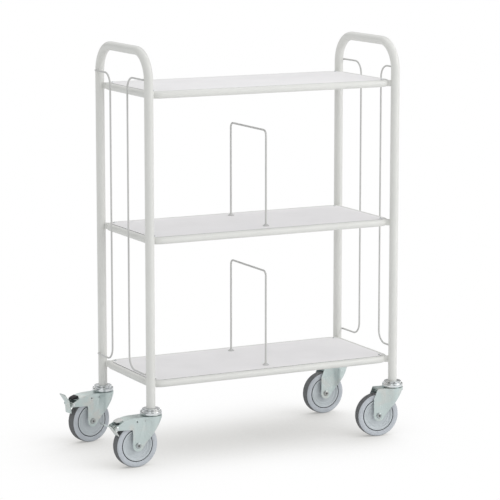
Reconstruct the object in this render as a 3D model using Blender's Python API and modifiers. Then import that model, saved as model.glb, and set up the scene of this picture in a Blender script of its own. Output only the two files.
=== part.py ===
"""Office trolley with three shelves, side guard wires, dividers and four swivel casters.

Units are metres and +Z is up. The front faces -Y, the braked casters stand on the left at -X,
and the origin lies on the floor under the middle of the whole trolley.
"""
import math

import bmesh
import bpy
from mathutils import Matrix, Vector

# Clearance between pieces that touch, and the overrun of every cutter.
GAP = 0.0003
OVERRUN = 0.002

# Posts, and the handle bend that rises over the top shelf.
POST_SPACING_X = 0.770
POST_SPACING_Y = 0.330
TUBE_RADIUS = 0.0125
TUBE_WALL = 0.0017
HANDLE_BEND = 0.080
HANDLE_RISE = 0.120

# Shelves.
BOTTOM_SHELF_HEIGHT = 0.232
SHELF_PITCH = 0.400
RIM_RADIUS = 0.010
RIM_CORNER = 0.045
PANEL_SHEET = 0.0015
PANEL_FLANGE = 0.014
LUG_WIDTH = 0.015
LUG_RECESS = 0.0015

# Guard wires at the two ends, which start over the bottom shelf and end over the top one.
GUARD_WIRE_RADIUS = 0.0025
GUARD_WIRE_Y = 0.058
GUARD_TOP_RISE = 0.0335
GUARD_FOOT_RISE = 0.0215
GUARD_BEND = 0.035
GUARD_LAP = 0.003

# Dividers on the two lower shelves.
DIVIDER_RADIUS = 0.00275
DIVIDER_DEPTH = 0.220
DIVIDER_HEIGHT = 0.273
DIVIDER_BEND = 0.014
FOOT_RADIUS = 0.009
FOOT_NECK_RADIUS = 0.005
FOOT_HEIGHT = 0.005
FOOT_FLANGE = 0.0014
FOOT_PLUG_WALL = 0.0026

# Wheels.
WHEEL_RADIUS = 0.0625
WHEEL_WIDTH = 0.032
CORE_RADIUS = 0.0462
CORE_INSET = 0.0012
GROOVE_WIDTH = 0.0017
GROOVE_DEPTH = 0.003
HUB_RADIUS = 0.012
HUB_GAP = 0.0008
WEB_DISH = 0.0045
RIM_LEDGE = 0.0027
SLEEVE_RADIUS = 0.007
AXLE_RADIUS = 0.004
AXLE_HEAD_RADIUS = 0.0085
AXLE_HEAD_HEIGHT = 0.0036
AXLE_HEAD_FLAT = 0.006
AXLE_HEAD_EDGE = 0.0011
AXLE_SOCKET_RADIUS = 0.003
AXLE_SOCKET_DEPTH = 0.0025
AXLE_NUT_RADIUS = 0.0078
AXLE_NUT_HEIGHT = 0.006

# Caster forks.
TRAIL = 0.049
FORK_SHEET = 0.0025
WHEEL_SIDE_GAP = 0.0025
FORK_TOP = 0.141
CROWN_RADIUS = 0.0295
CROWN_RIM = 0.0008
CROWN_RIM_HEIGHT = 0.008
CREASE_X = 0.027
CREASE_ANGLE = math.radians(114)
LEG_RADIUS = 0.016
TRAILING_KNEE = 0.113
FORK_BACK = 0.053
FORK_FRONT = 0.022
DIMPLE_RADIUS = 0.0022
DIMPLE_DROP = 0.011
DIMPLE_BACK = 0.052
DIMPLE_FRONT = 0.028

# Caster stems with their ball race caps.
STEM_LENGTH = 0.038
STEM_CHAMFER = 0.0015
RACE_RADIUS = 0.026
RACE_HEIGHT = 0.0022
CAP_RADIUS = 0.030
CAP_SKIRT = 0.0092
CAP_STEP_RADIUS = 0.025
CAP_STEP = 0.0068
CAP_ROUND = 0.0012
KINGPIN_RADIUS = 0.006
KINGPIN_HEAD_RADIUS = 0.011
KINGPIN_HEAD = 0.004

# Brakes of the two left casters.
BRAKE_PIVOT_X = 0.113
BRAKE_PIVOT_Z = 0.1178
HORN_RADIUS = 0.006
HORN_FILLET = 0.005
HORN_ROOT_Z = 0.109
HORN_WEB_END = 0.098
BRAKE_PIN_RADIUS = 0.003
BRAKE_PIN_HEAD_RADIUS = 0.0048
BRAKE_PIN_HEAD_FLAT = 0.0034
BRAKE_PIN_HEAD = 0.002
PEDAL_SHEET = 0.0025
PEDAL_WIDTH = 0.027
PEDAL_EAR_RADIUS = 0.0075
SHOE_REACH = 0.025
SHOE_SET = 0.0045
TREAD_BACK = 0.025
TREAD_RISE = 0.0315
TREAD_KNEE_SHARE = 0.42
BRAKE_CLEARANCE = 0.0004
BUFFER_WIDTH = 0.024
BUFFER_HEIGHT = 0.009
BUFFER_NOSE = 0.005
BUFFER_SEAT = 0.010
BUFFER_OVERHANG = 0.012

# How far each wheel has swung round its stem, seen from above.
FRONT_LEFT_TURN = math.radians(1.7)
REAR_LEFT_TURN = math.radians(9.8)
FRONT_RIGHT_TURN = math.radians(-7.9)
REAR_RIGHT_TURN = math.radians(0.5)

# Numbers of facets.
HANDLE_STEPS = 8
BEND_STEPS = 6
WIRE_STEPS = 4
TUBE_ROUND_STEPS = 5
RIM_ROUND_STEPS = 4
WIRE_ROUND_STEPS = 2
WHEEL_STEPS = 28
HUB_STEPS = 16
SMALL_STEPS = 10
NUT_SIDES = 6

PAINT = ((0.78, 0.78, 0.75, 1.0), 0.42, 0.0)
PANEL_PAINT = ((0.80, 0.79, 0.79, 1.0), 0.45, 0.0)
ZINC = ((0.66, 0.71, 0.71, 1.0), 0.30, 0.9)
BRIGHT_STEEL = ((0.72, 0.74, 0.74, 1.0), 0.22, 1.0)
TYRE_RUBBER = ((0.22, 0.23, 0.24, 1.0), 0.75, 0.0)
CORE_PLASTIC = ((0.42, 0.45, 0.50, 1.0), 0.50, 0.0)
BLACK_RUBBER = ((0.03, 0.03, 0.03, 1.0), 0.70, 0.0)
CLEAR_GREY_PLASTIC = ((0.62, 0.62, 0.60, 1.0), 0.45, 0.0)

MERGE = 0.00001

half_x = POST_SPACING_X / 2
half_y = POST_SPACING_Y / 2
shelf_heights = {
    "bottom": BOTTOM_SHELF_HEIGHT,
    "middle": BOTTOM_SHELF_HEIGHT + SHELF_PITCH,
    "top": BOTTOM_SHELF_HEIGHT + SHELF_PITCH + SHELF_PITCH,
}
trolley_height = shelf_heights["top"] + HANDLE_RISE
guard_top = shelf_heights["top"] + GUARD_TOP_RISE
guard_bottom = shelf_heights["bottom"] + GUARD_FOOT_RISE
cap_bottom = FORK_TOP + GAP + RACE_HEIGHT
cap_shoulder = cap_bottom + CAP_SKIRT
cap_top = cap_shoulder + CAP_STEP
post_bottom = cap_top + GAP
fork_half = WHEEL_WIDTH / 2 + WHEEL_SIDE_GAP + FORK_SHEET
fork_inner = fork_half - FORK_SHEET
web_under = FORK_TOP - FORK_SHEET


def clear_scene():
    """Remove every object that the file opened with."""
    for thing in list(bpy.data.objects):
        bpy.data.objects.remove(thing, do_unlink=True)


def collection(name):
    """Add a collection to the scene."""
    group = bpy.data.collections.new(name)
    bpy.context.scene.collection.children.link(group)
    return group


clear_scene()
trolley_parts = collection("Office trolley")
workshop = collection("Cutters")


def surface(name, look):
    """Make one piece's own material from its colour, roughness and metallic value."""
    colour, roughness, metallic = look
    made = bpy.data.materials.new(name)
    made.use_nodes = True
    shader = made.node_tree.nodes["Principled BSDF"]
    shader.inputs["Base Color"].default_value = colour
    shader.inputs["Roughness"].default_value = roughness
    shader.inputs["Metallic"].default_value = metallic
    made.diffuse_color = colour
    return made


def bench(name, data):
    """Put new geometry on the bench, out of the render, to be cut or joined."""
    thing = bpy.data.objects.new(name, data)
    thing.hide_render = True
    thing.display_type = "WIRE"
    workshop.objects.link(thing)
    return thing


def to_mesh(source):
    """Turn a curve or a modified object into a plain closed mesh object."""
    bpy.context.view_layer.update()
    graph = bpy.context.evaluated_depsgraph_get()
    mesh = bpy.data.meshes.new_from_object(source.evaluated_get(graph), depsgraph=graph)
    work = bmesh.new()
    work.from_mesh(mesh)
    bmesh.ops.remove_doubles(work, verts=work.verts, dist=MERGE)
    bmesh.ops.recalc_face_normals(work, faces=work.faces)
    work.to_mesh(mesh)
    work.free()
    solid = bench(source.name, mesh)
    solid.matrix_world = source.matrix_world
    bpy.data.objects.remove(source, do_unlink=True)
    return solid


def settle(solid):
    """Write an object's placement into its mesh."""
    bpy.context.view_layer.update()
    solid.data.transform(solid.matrix_world)
    solid.matrix_world = Matrix.Identity(4)
    return solid


def combine(target, others, operation):
    """Cut, join or intersect a solid with others, which are used up."""
    for other in others:
        step = target.modifiers.new(operation, "BOOLEAN")
        step.operation = operation
        step.solver = "EXACT"
        step.object = other
        made = to_mesh(target)
        bpy.data.objects.remove(other, do_unlink=True)
        target = made
    return target


def cut(target, *cutters):
    return combine(target, cutters, "DIFFERENCE")


def join(target, *others):
    return combine(target, others, "UNION")


def overlap_of(target, *others):
    return combine(target, others, "INTERSECT")


def fillet(before, corner, after, radius, steps):
    """Points of the arc that rounds a corner between two straight runs."""
    toward = (before - corner).normalized()
    away = (after - corner).normalized()
    half = toward.angle(away) / 2
    centre = corner + (toward + away).normalized() * (radius / math.sin(half))
    spoke = corner + toward * (radius / math.tan(half)) - centre
    axis = (-toward).cross(away)
    sweep = math.pi - 2 * half
    return [centre + Matrix.Rotation(sweep * k / steps, 3, axis) @ spoke for k in range(steps + 1)]


def rounded_path(corners, radius, steps=BEND_STEPS, closed=False):
    """A run of points through corners, each inner corner rounded to one radius."""
    places = [Vector(corner) for corner in corners]
    count = len(places)
    path = []
    for k, corner in enumerate(places):
        if not closed and k in (0, count - 1):
            path.append(corner)
            continue
        path += fillet(places[k - 1], corner, places[(k + 1) % count], radius, steps)
    return path


def tube(name, path, radius, level, closed=False):
    """A round bar or wire swept along a path, as a mesh."""
    curve = bpy.data.curves.new(name, "CURVE")
    curve.dimensions = "3D"
    curve.bevel_depth = radius
    curve.bevel_resolution = level
    curve.use_fill_caps = not closed
    run = curve.splines.new("POLY")
    run.points.add(len(path) - 1)
    for point, place in zip(run.points, path):
        point.co = (*place, 1)
    run.use_cyclic_u = closed
    return to_mesh(bench(name, curve))


def plate(name, outlines, thickness, height=0.0):
    """A flat outline, with any holes as further outlines, given its thickness about one height."""
    curve = bpy.data.curves.new(name, "CURVE")
    curve.dimensions = "2D"
    curve.fill_mode = "BOTH"
    curve.extrude = thickness / 2
    for outline in outlines:
        run = curve.splines.new("POLY")
        run.points.add(len(outline) - 1)
        for point, place in zip(run.points, outline):
            point.co = (place[0], place[1], 0, 1)
        run.use_cyclic_u = True
    flat = bench(name, curve)
    flat.location.z = height
    return settle(to_mesh(flat))


def side_plate(name, outline, width, middle=0.0):
    """A plate whose outline is drawn in X and Z, standing across Y."""
    upright = plate(name, [outline], width)
    upright.rotation_euler.x = math.pi / 2
    upright.location.y = middle
    return settle(upright)


def turned(name, profile, steps, ring=False):
    """A lathe shape about Z from radius and height pairs, run down the outer side."""
    mesh = bpy.data.meshes.new(name)
    work = bmesh.new()
    dots = [work.verts.new((radius, 0, height)) for radius, height in profile]
    for first, second in zip(dots, dots[1:]):
        work.edges.new((first, second))
    if ring:
        work.edges.new((dots[-1], dots[0]))
    work.to_mesh(mesh)
    work.free()
    blank = bench(name, mesh)
    lathe = blank.modifiers.new("lathe", "SCREW")
    lathe.axis = "Z"
    lathe.steps = steps
    lathe.render_steps = steps
    lathe.use_merge_vertices = True
    lathe.merge_threshold = MERGE
    return to_mesh(blank)


def rod(name, radius, length, steps=HUB_STEPS):
    """A plain cylinder about Z, centred on the origin."""
    mesh = bpy.data.meshes.new(name)
    work = bmesh.new()
    bmesh.ops.create_cone(work, cap_ends=True, segments=steps, radius1=radius, radius2=radius, depth=length)
    work.to_mesh(mesh)
    work.free()
    return bench(name, mesh)


def cross_rod(name, radius, length, x, z, steps=HUB_STEPS):
    """A cylinder that lies along Y through a point of the side view."""
    bar = rod(name, radius, length, steps)
    bar.rotation_euler.x = math.pi / 2
    bar.location = (x, 0, z)
    return settle(bar)


def block(name, low, high):
    """A box between two corners."""
    mesh = bpy.data.meshes.new(name)
    work = bmesh.new()
    bmesh.ops.create_cube(work, size=1)
    size = Vector(high) - Vector(low)
    bmesh.ops.scale(work, vec=size, verts=work.verts)
    bmesh.ops.translate(work, vec=(Vector(high) + Vector(low)) / 2, verts=work.verts)
    work.to_mesh(mesh)
    work.free()
    return bench(name, mesh)


def arc(centre, radius, start, end, steps):
    """Points along an arc in the plane, from one angle to another."""
    angles = [start + (end - start) * k / steps for k in range(steps + 1)]
    return [(centre[0] + radius * math.cos(a), centre[1] + radius * math.sin(a)) for a in angles]


def rounded_rectangle(reach_x, reach_y, radius, steps=BEND_STEPS):
    """A rounded rectangle about the origin, given half its length and width."""
    corners = [(-reach_x, -reach_y, 0), (reach_x, -reach_y, 0), (reach_x, reach_y, 0), (-reach_x, reach_y, 0)]
    return [(p.x, p.y) for p in rounded_path(corners, radius, steps, closed=True)]


def anchor(name, parent, location, turn=(0, 0, 0)):
    """An empty that carries pieces and marks a joint."""
    empty = bpy.data.objects.new(name, None)
    empty.empty_display_size = TUBE_RADIUS
    empty.location = location
    empty.rotation_euler = turn
    empty.parent = parent
    trolley_parts.objects.link(empty)
    return empty


def place(solid, name, look, parent, location=(0, 0, 0), turn=(0, 0, 0)):
    """Give a finished shape its name, surface and place, and keep the shape for another copy."""
    mesh = solid.data.copy()
    mesh.name = name
    mesh.materials.clear()
    mesh.materials.append(surface(name, look))
    mesh.shade_smooth()
    mesh.set_sharp_from_angle(angle=math.radians(35))
    piece = bpy.data.objects.new(name, mesh)
    piece.parent = parent
    piece.location = location
    piece.rotation_euler = turn
    trolley_parts.objects.link(piece)
    return piece


def end_frame():
    """A bent tube: two posts and the handle over them, bored at the feet for the caster stems."""
    top = trolley_height - TUBE_RADIUS
    corners = [(0, -half_y, post_bottom), (0, -half_y, top), (0, half_y, top), (0, half_y, post_bottom)]
    frame = tube("end frame", rounded_path(corners, HANDLE_BEND, HANDLE_STEPS), TUBE_RADIUS, TUBE_ROUND_STEPS)
    depth = STEM_LENGTH + OVERRUN
    for side in (-half_y, half_y):
        bore = rod("stem bore", TUBE_RADIUS - TUBE_WALL, depth + OVERRUN)
        bore.location = (0, side, post_bottom + (depth - OVERRUN) / 2)
        frame = cut(frame, bore)
    return frame


def rim_path():
    """Centreline of the shelf ring, whose outer edge runs through the post axes if it had sharp corners."""
    reach_x = half_x - RIM_RADIUS
    reach_y = half_y - RIM_RADIUS
    corners = [(-reach_x, -reach_y, -RIM_RADIUS), (reach_x, -reach_y, -RIM_RADIUS),
               (reach_x, reach_y, -RIM_RADIUS), (-reach_x, reach_y, -RIM_RADIUS)]
    return rounded_path(corners, RIM_CORNER - RIM_RADIUS, closed=True)


def shelf_rim():
    """The ring of round tube, with a saddle lug welded on at each corner to hug its post."""
    rim = tube("rim", rim_path(), RIM_RADIUS, RIM_ROUND_STEPS, closed=True)
    diagonal = (math.sqrt(2) - 1) * RIM_CORNER + RIM_RADIUS
    for sx, sy in ((-1, -1), (1, -1), (-1, 1), (1, 1)):
        lug = block("lug", (TUBE_RADIUS / 2, -LUG_WIDTH / 2, LUG_RECESS - RIM_RADIUS - RIM_RADIUS),
                    (diagonal, LUG_WIDTH / 2, -LUG_RECESS))
        lug.rotation_euler.z = math.atan2(-sy, -sx)
        lug.location = (sx * half_x, sy * half_y, 0)
        post = rod("post", TUBE_RADIUS + GAP, POST_SPACING_Y, HUB_STEPS)
        post.location = lug.location
        rim = join(rim, cut(settle(lug), post))
    return rim


def panel_setback():
    """How far the panel's edge lies inside the rim, where its sheet rests on the tube's shoulder."""
    fall = RIM_RADIUS - PANEL_SHEET
    return RIM_RADIUS + math.sqrt((RIM_RADIUS + GAP) ** 2 - fall ** 2)


def shelf_panel(with_divider):
    """A flat sheet flush with the rim, with stiffening flanges turned down inside the ring."""
    setback = panel_setback()
    outline = rounded_rectangle(half_x - setback, half_y - setback, RIM_CORNER - setback)
    panel = plate("panel", [outline], PANEL_SHEET, -PANEL_SHEET / 2)
    flange_set = RIM_RADIUS + RIM_RADIUS + GAP
    outer_x = half_x - flange_set
    outer_y = half_y - flange_set
    run_x = half_x - RIM_CORNER
    run_y = half_y - RIM_CORNER
    for side in (-1, 1):
        near = sorted((side * outer_y, side * (outer_y - PANEL_SHEET)))
        panel = join(panel, block("flange", (-run_x, near[0], -PANEL_FLANGE), (run_x, near[1], -PANEL_SHEET / 2)))
        near = sorted((side * outer_x, side * (outer_x - PANEL_SHEET)))
        panel = join(panel, block("flange", (near[0], -run_y, -PANEL_FLANGE), (near[1], run_y, -PANEL_SHEET / 2)))
    if not with_divider:
        return panel
    plug = DIVIDER_RADIUS + GAP + FOOT_PLUG_WALL
    for side in (-1, 1):
        drill = rod("drill", plug + GAP, OVERRUN + PANEL_SHEET + OVERRUN, SMALL_STEPS)
        drill.location = (0, side * DIVIDER_DEPTH / 2, -PANEL_SHEET / 2)
        panel = cut(panel, drill)
    return panel


def guard_wire():
    """One end guard: a long wire that turns in at both ends and is welded to the post."""
    lap = half_y + GUARD_LAP
    corners = [(0, lap, guard_top), (0, GUARD_WIRE_Y, guard_top),
               (0, GUARD_WIRE_Y, guard_bottom), (0, lap, guard_bottom)]
    return tube("guard", rounded_path(corners, GUARD_BEND, WIRE_STEPS), GUARD_WIRE_RADIUS, WIRE_ROUND_STEPS)


def divider_wire():
    """An upside-down U of wire whose legs stand in two feet."""
    reach = DIVIDER_DEPTH / 2
    top = DIVIDER_HEIGHT - DIVIDER_RADIUS
    corners = [(0, -reach, -PANEL_SHEET), (0, -reach, top), (0, reach, top), (0, reach, -PANEL_SHEET)]
    return tube("divider", rounded_path(corners, DIVIDER_BEND, WIRE_STEPS), DIVIDER_RADIUS, WIRE_ROUND_STEPS)


def divider_foot():
    """A grommet pressed into the panel, flush below, that grips one of the divider's legs."""
    bore = DIVIDER_RADIUS + GAP
    plug = bore + FOOT_PLUG_WALL
    low = -PANEL_SHEET
    profile = [(bore, FOOT_HEIGHT), (FOOT_NECK_RADIUS, FOOT_HEIGHT), (FOOT_RADIUS, GAP + FOOT_FLANGE),
               (FOOT_RADIUS, GAP), (plug, GAP), (plug, low), (bore, low)]
    return turned("foot", profile, SMALL_STEPS, ring=True)


def caster_stem():
    """The stem that fits in the post, the stepped race cap and the kingpin, turned as one."""
    stem = TUBE_RADIUS - TUBE_WALL - GAP
    top = cap_top + STEM_LENGTH
    head_top = web_under - GAP
    profile = [(0, top), (stem - STEM_CHAMFER, top), (stem, top - STEM_CHAMFER), (stem, cap_top),
               (CAP_STEP_RADIUS - CAP_ROUND, cap_top), (CAP_STEP_RADIUS, cap_top - CAP_ROUND),
               (CAP_STEP_RADIUS, cap_shoulder), (CAP_RADIUS - CAP_ROUND, cap_shoulder),
               (CAP_RADIUS, cap_shoulder - CAP_ROUND), (CAP_RADIUS, cap_bottom),
               (RACE_RADIUS, cap_bottom), (RACE_RADIUS, FORK_TOP + GAP), (KINGPIN_RADIUS, FORK_TOP + GAP),
               (KINGPIN_RADIUS, head_top), (KINGPIN_HEAD_RADIUS, head_top),
               (KINGPIN_HEAD_RADIUS, head_top - KINGPIN_HEAD), (0, head_top - KINGPIN_HEAD)]
    return turned("stem", profile, HUB_STEPS)


def plan_outline(inset, back):
    """The fork seen from above: flat cheeks that flare out into the round front of the crown."""
    half = fork_half - inset
    radius = CROWN_RADIUS - inset
    front = arc((0, 0), radius, -CREASE_ANGLE, CREASE_ANGLE, BEND_STEPS + BEND_STEPS)
    return [(-back, -half), (-CREASE_X, -half)] + front + [(-CREASE_X, half), (-back, half)]


def tangent_angle(centre, radius, point):
    """Angle on a circle where a line from an outer point touches it, on the lower side."""
    dx = point[0] - centre[0]
    dz = point[1] - centre[1]
    return math.atan2(dz, dx) - math.acos(radius / math.hypot(dx, dz))


def horn_top():
    """Upper edge of the braked fork's horn, from the crown back to the round tip."""
    tip = (-BRAKE_PIVOT_X, BRAKE_PIVOT_Z)
    rise_shares = ((0.35, 0.72), (0.66, 0.96))
    run = BRAKE_PIVOT_X - FORK_BACK
    lift = FORK_TOP - BRAKE_PIVOT_Z
    slope = [(tip[0] + run * along, tip[1] + lift * up) for along, up in rise_shares]
    first = slope[0]
    lean = math.atan2(first[1] - tip[1], first[0] - tip[0])
    turn = lean + math.acos(HORN_RADIUS / math.hypot(first[0] - tip[0], first[1] - tip[1]))
    return [(-FORK_BACK, FORK_TOP)] + slope[::-1], turn


def fork_side(braked):
    """The fork seen from the side: round leg end, trailing edge, sloping front and, if braked, the horn."""
    axle = (-TRAIL, WHEEL_RADIUS)
    brow = FORK_TOP - CROWN_RIM_HEIGHT
    front = (FORK_FRONT, brow)
    start = tangent_angle(axle, LEG_RADIUS, front)
    leg = arc(axle, LEG_RADIUS, start, -math.pi, BEND_STEPS)
    ahead = CROWN_RADIUS + OVERRUN
    outline = [(ahead, FORK_TOP), (ahead, brow), front] + leg
    if not braked:
        return outline + [(-TRAIL - LEG_RADIUS, TRAILING_KNEE), (-FORK_BACK, FORK_TOP)]
    tip = (-BRAKE_PIVOT_X, BRAKE_PIVOT_Z)
    inner = (-TRAIL - LEG_RADIUS - HORN_FILLET, HORN_ROOT_Z - HORN_FILLET)
    corner = arc(inner, HORN_FILLET, 0, math.pi / 2, BEND_STEPS // 2)
    top, turn = horn_top()
    nose = arc(tip, HORN_RADIUS, -math.pi / 2, turn - 2 * math.pi, BEND_STEPS)
    return outline + corner + nose + top[::-1]


def fork_cavity(braked):
    """The room inside the fork: open below, in front and behind, closed above by the web."""
    back = BRAKE_PIVOT_X + POST_SPACING_Y
    room = plate("room", [plan_outline(FORK_SHEET, back)], FORK_TOP + FORK_TOP)
    low = -FORK_TOP
    if braked:
        top, turn = horn_top()
        roof = [(x, z - FORK_SHEET) for x, z in top]
        last = roof[-1]
        drop = (last[1] - (BRAKE_PIVOT_Z - FORK_SHEET)) / (last[0] + BRAKE_PIVOT_X)
        end = (-HORN_WEB_END, last[1] - drop * (last[0] + HORN_WEB_END))
        roof += [end, (-HORN_WEB_END, FORK_TOP + OVERRUN), (-back, FORK_TOP + OVERRUN)]
    else:
        roof = [(-back, web_under)]
    reach = CROWN_RADIUS + OVERRUN
    side = [(-back, low), (reach, low), (reach, web_under)] + roof
    return overlap_of(room, side_plate("room side", side, POST_SPACING_Y))


def caster_fork(braked):
    """A pressed fork: one sheet bent round the crown, trimmed to its side outline and pierced."""
    back = BRAKE_PIVOT_X + HORN_RADIUS + OVERRUN
    tall = FORK_TOP + OVERRUN
    body = plate("fork", [plan_outline(0, back)], tall + tall)
    body = overlap_of(body, side_plate("fork side", fork_side(braked), POST_SPACING_Y))
    rim = rod("crown rim", CROWN_RADIUS + CROWN_RIM, CROWN_RIM_HEIGHT)
    rim.location.z = FORK_TOP - CROWN_RIM_HEIGHT / 2
    body = join(body, rim)
    body = cut(body, fork_cavity(braked))
    through = POST_SPACING_Y
    drills = [cross_rod("axle hole", AXLE_RADIUS + GAP, through, -TRAIL, WHEEL_RADIUS, SMALL_STEPS)]
    king = rod("king hole", KINGPIN_RADIUS + GAP, through, SMALL_STEPS)
    king.location.z = FORK_TOP
    drills.append(king)
    if braked:
        drills.append(cross_rod("pin hole", BRAKE_PIN_RADIUS + GAP, through,
                                -BRAKE_PIVOT_X, BRAKE_PIVOT_Z, SMALL_STEPS))
        for x in (DIMPLE_BACK, DIMPLE_FRONT):
            drills.append(cross_rod("pierced hole", DIMPLE_RADIUS, through, -x, FORK_TOP - DIMPLE_DROP, SMALL_STEPS))
    return cut(body, *drills)


def axle_bolt():
    """Axle with a socketed dome head on one cheek of the fork and a hexagon nut on the other."""
    seat = fork_half + GAP
    head = seat + AXLE_HEAD_HEIGHT
    socket = head - AXLE_SOCKET_DEPTH
    nut = seat + AXLE_NUT_HEIGHT
    profile = [(0, socket), (AXLE_SOCKET_RADIUS, socket), (AXLE_SOCKET_RADIUS, head),
               (AXLE_HEAD_FLAT, head), (AXLE_HEAD_RADIUS, seat + AXLE_HEAD_EDGE),
               (AXLE_HEAD_RADIUS, seat), (AXLE_RADIUS, seat), (AXLE_RADIUS, -nut - AXLE_RADIUS / 2),
               (0, -nut - AXLE_RADIUS / 2)]
    bolt = turned("axle", profile, SMALL_STEPS)
    hexagon = rod("nut", AXLE_NUT_RADIUS, AXLE_NUT_HEIGHT, NUT_SIDES)
    hexagon.location.z = -seat - AXLE_NUT_HEIGHT / 2
    return join(bolt, hexagon)


def axle_sleeve():
    """Spacer tube between the fork's cheeks, on which the wheel turns."""
    reach = fork_inner - GAP
    bore = AXLE_RADIUS + GAP
    profile = [(bore, reach), (SLEEVE_RADIUS, reach), (SLEEVE_RADIUS, -reach), (bore, -reach)]
    return turned("sleeve", profile, SMALL_STEPS, ring=True)


def both_sides(profile):
    """A lathe profile from its upper half, repeated below in reverse order."""
    return profile + [(radius, -height) for radius, height in reversed(profile)]


def wheel_core():
    """Plastic wheel centre with a long hub, a dished web and a rim rebated for the tyre groove."""
    half = WHEEL_WIDTH / 2
    bore = SLEEVE_RADIUS + GAP
    hub = fork_inner - HUB_GAP
    face = half - CORE_INSET
    web = face - WEB_DISH
    lip = CORE_RADIUS - GROOVE_WIDTH
    profile = [(bore, hub), (HUB_RADIUS, hub), (HUB_RADIUS + WEB_DISH / 2, web), (lip - WEB_DISH - RIM_LEDGE, web),
               (lip - WEB_DISH, face), (lip, face), (lip, face - GROOVE_DEPTH), (CORE_RADIUS, face - GROOVE_DEPTH)]
    return turned("core", both_sides(profile), HUB_STEPS, ring=True)


def tyre():
    """Grey tyre with slightly full side walls and rounded shoulders."""
    half = WHEEL_WIDTH / 2
    wall = WHEEL_RADIUS - CORE_RADIUS - GAP
    inner = CORE_RADIUS + GAP
    section_shares = ((0.0, 0.91), (0.45, 1.0), (0.86, 0.93), (1.0, 0.66))
    profile = [(inner + wall * out, half * across) for out, across in section_shares]
    return turned("tyre", both_sides(profile), WHEEL_STEPS, ring=True)


def brake_pin():
    """Riveted pin through the two sides of the horn."""
    seat = fork_half + GAP
    head = seat + BRAKE_PIN_HEAD
    half = [(0, head), (BRAKE_PIN_HEAD_FLAT, head), (BRAKE_PIN_HEAD_RADIUS, seat), (BRAKE_PIN_RADIUS, seat)]
    return turned("brake pin", both_sides(half), SMALL_STEPS)


def thick_line(path, thickness):
    """Outline of a bent strip whose middle line runs through the given points."""
    half = thickness / 2
    left = []
    right = []
    for k, point in enumerate(path):
        before = Vector(path[max(k - 1, 0)])
        after = Vector(path[min(k + 1, len(path) - 1)])
        along = (after - before).normalized()
        across = Vector((-along.y, along.x)) * half
        left.append(tuple(Vector(point) + across))
        right.append(tuple(Vector(point) - across))
    return left + right[::-1]


def shoe_corner():
    """Lowest point of the pedal's shoe on the side of the tyre, seen from the pivot."""
    return (-SHOE_SET + PEDAL_SHEET / 2, -SHOE_REACH)


def brake_swing():
    """Angle the pedal turns through before its shoe meets the tread."""
    to_axle = Vector((BRAKE_PIVOT_X - TRAIL, WHEEL_RADIUS - BRAKE_PIVOT_Z))
    corner = Vector(shoe_corner())
    limit = WHEEL_RADIUS + BRAKE_CLEARANCE
    cosine = (to_axle.length ** 2 + corner.length ** 2 - limit ** 2) / (2 * to_axle.length * corner.length)
    open_angle = math.atan2(to_axle.y, to_axle.x) - math.atan2(corner.y, corner.x)
    return open_angle - math.acos(cosine)


def brake_pedal():
    """Rocker pressed from sheet: shoe below, foot tread above and an ear on each side for the pin."""
    bend_shares = ((1.3, -0.40), (1.75, 0.20))
    low = (-SHOE_SET, -SHOE_REACH)
    middle = [(-SHOE_SET * back, SHOE_REACH * up) for back, up in bend_shares]
    knee = (-TREAD_BACK / 2, TREAD_RISE * TREAD_KNEE_SHARE)
    path = [low] + middle + [knee, (-TREAD_BACK, TREAD_RISE)]
    pedal = side_plate("pedal", thick_line(path, PEDAL_SHEET), PEDAL_WIDTH)
    dome = arc((0, 0), PEDAL_EAR_RADIUS, -math.pi / 2, math.pi / 2, BEND_STEPS)
    ear = dome + middle[::-1]
    for side in (-1, 1):
        middle_y = side * (PEDAL_WIDTH / 2 - PEDAL_SHEET)
        pedal = join(pedal, side_plate("ear", ear, PEDAL_SHEET, middle_y))
    drill = cross_rod("pin hole", BRAKE_PIN_RADIUS + GAP, POST_SPACING_Y, 0, 0, SMALL_STEPS)
    return cut(pedal, drill)


def brake_buffer():
    """Rubber pad that stands on the horn's sloping web and overhangs its end."""
    top, turn = horn_top()
    upper = Vector(top[-1])
    lower = Vector((-BRAKE_PIVOT_X, BRAKE_PIVOT_Z)) + Vector((math.cos(turn), math.sin(turn))) * HORN_RADIUS
    down = (lower - upper).normalized()
    up = Vector((down.y, -down.x))
    edge = upper + down * ((upper.x + HORN_WEB_END) / -down.x)
    corners = [(0, GAP), (BUFFER_OVERHANG, BUFFER_NOSE), (BUFFER_OVERHANG, BUFFER_HEIGHT),
               (-BUFFER_SEAT, BUFFER_HEIGHT), (-BUFFER_SEAT, GAP)]
    outline = [tuple(edge + down * along + up * off) for along, off in corners]
    return side_plate("buffer", outline, BUFFER_WIDTH)


def build_frames(root):
    shape = end_frame()
    for name, x in (("left_end_frame", -half_x), ("right_end_frame", half_x)):
        place(shape, name, PAINT, root, (x, 0, 0))


def build_shelves(root):
    rim = shelf_rim()
    plain_panel = shelf_panel(False)
    divider_panel = shelf_panel(True)
    wire = divider_wire()
    foot = divider_foot()
    for level, height in shelf_heights.items():
        spot = (0, 0, height)
        panel = plain_panel if level == "top" else divider_panel
        place(rim, level + "_shelf_rim", PAINT, root, spot)
        place(panel, level + "_shelf_panel", PANEL_PAINT, root, spot)
        if level == "top":
            continue
        place(wire, level + "_divider", PAINT, root, spot)
        for row, side in (("front", -1), ("rear", 1)):
            under_leg = (0, side * DIVIDER_DEPTH / 2, height)
            place(foot, level + "_" + row + "_divider_foot", CLEAR_GREY_PLASTIC, root, under_leg)


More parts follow.
